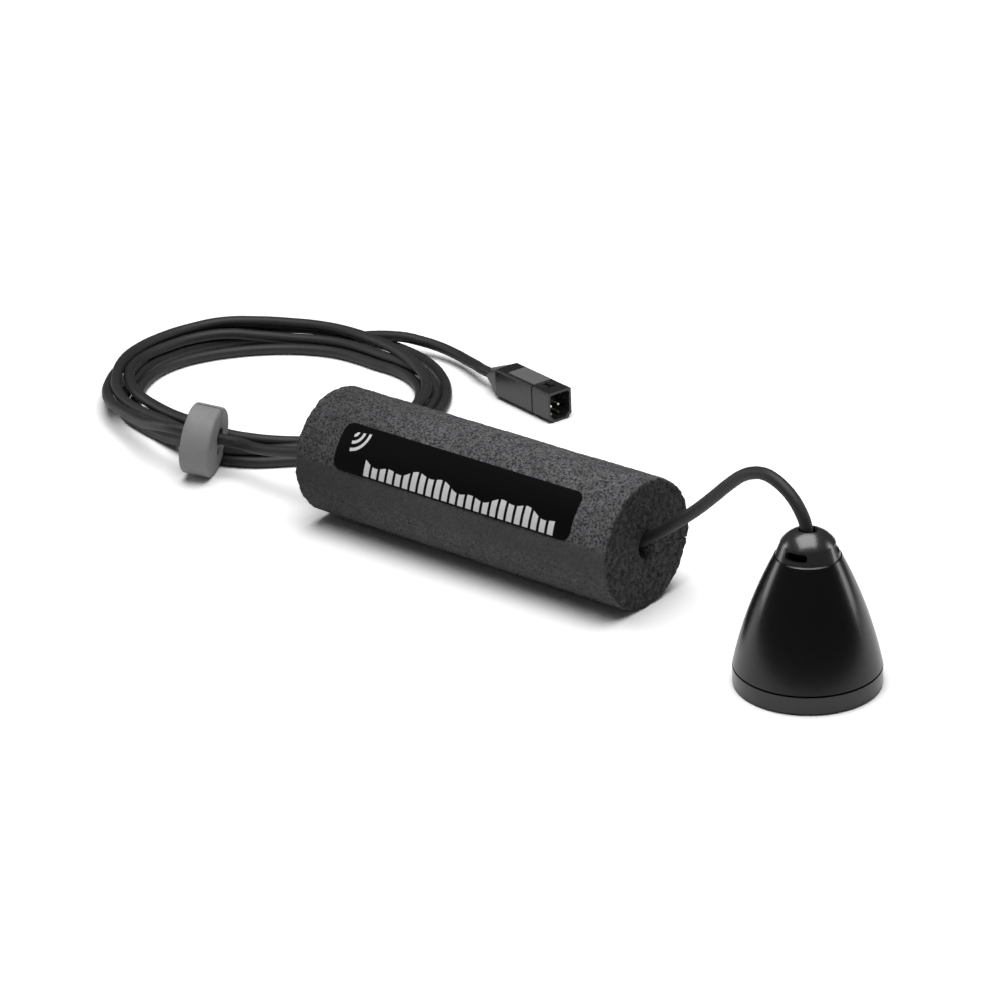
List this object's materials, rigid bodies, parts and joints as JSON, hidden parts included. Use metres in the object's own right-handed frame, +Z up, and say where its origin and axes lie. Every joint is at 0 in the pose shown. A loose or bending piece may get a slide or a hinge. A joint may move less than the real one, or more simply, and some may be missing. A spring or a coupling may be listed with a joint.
{
  "type": "sonar transducer",
  "caption": "Portable sonar transducer: a weighted black cone on a grey sounding face, with a foam float, a rubber depth stopper, a coiled cable and a rectangular plug.",
  "frame": {"origin": "centre of the sounding face, on the surface that the cone stands on", "axes": "+Z up along the cone's axis from the sounding face to the cable's entry, -X along the float away from the cone, +Y towards the coil and the plug"},
  "size_m": [0.488, 0.2056, 0.0854],
  "materials": {
    "housing_plastic": "satin black moulded plastic",
    "face_plastic": "matte grey moulded plastic",
    "cap_plastic": "satin black moulded plastic",
    "seal_rubber": "soft matte rubber",
    "ceramic": "fired ceramic",
    "cork": "pressed cork",
    "resin": "cast resin",
    "lead_insulation": "coloured wire insulation",
    "sensor_bead": "dipped bead",
    "board": "lacquered board",
    "tinned_metal": "tinned",
    "ballast_iron": "as cast",
    "cable_jacket": "satin black jacket",
    "foam": "cut closed-cell foam, grainy",
    "label_film": "satin black film",
    "stopper_rubber": "matte grey rubber",
    "plug_plastic": "satin black moulded plastic",
    "cover_plastic": "fine matte grey",
    "plug_seal_rubber": "soft silicone",
    "pin_metal": "plated"
  },
  "bodies": {
    "root": {"cone_housing": "housing_plastic", "acoustic_face_cup": "face_plastic", "top_cap": "cap_plastic", "gland_nut": "cap_plastic", "face_seal": "seal_rubber", "cable_grommet": "seal_rubber", "piezo_disc": "ceramic", "isolation_ring": "cork", "backing_pad": "cork", "potting_compound": "resin", "disc_leads": "lead_insulation", "sensor_lead": "lead_insulation", "core_wires": "lead_insulation", "temperature_sensor": "sensor_bead", "terminal_board": "board", "solder_tabs": "tinned_metal", "cable_ferrule": "tinned_metal", "ballast_weight": "ballast_iron", "cable_entry": "cable_jacket", "cable_arc": "cable_jacket", "cable_in_float": "cable_jacket", "cable_float_exit": "cable_jacket", "cable_coil": "cable_jacket", "cable_tail": "cable_jacket", "foam_float": "foam", "float_label": "label_film", "cable_stopper": "stopper_rubber", "plug_boot": "plug_plastic", "plug_body": "plug_plastic", "plug_shroud": "plug_plastic", "pin_block": "plug_plastic", "plug_cover": "cover_plastic", "plug_seal": "plug_seal_rubber", "contact_pins": "pin_metal"}
  },
  "joints": []
}
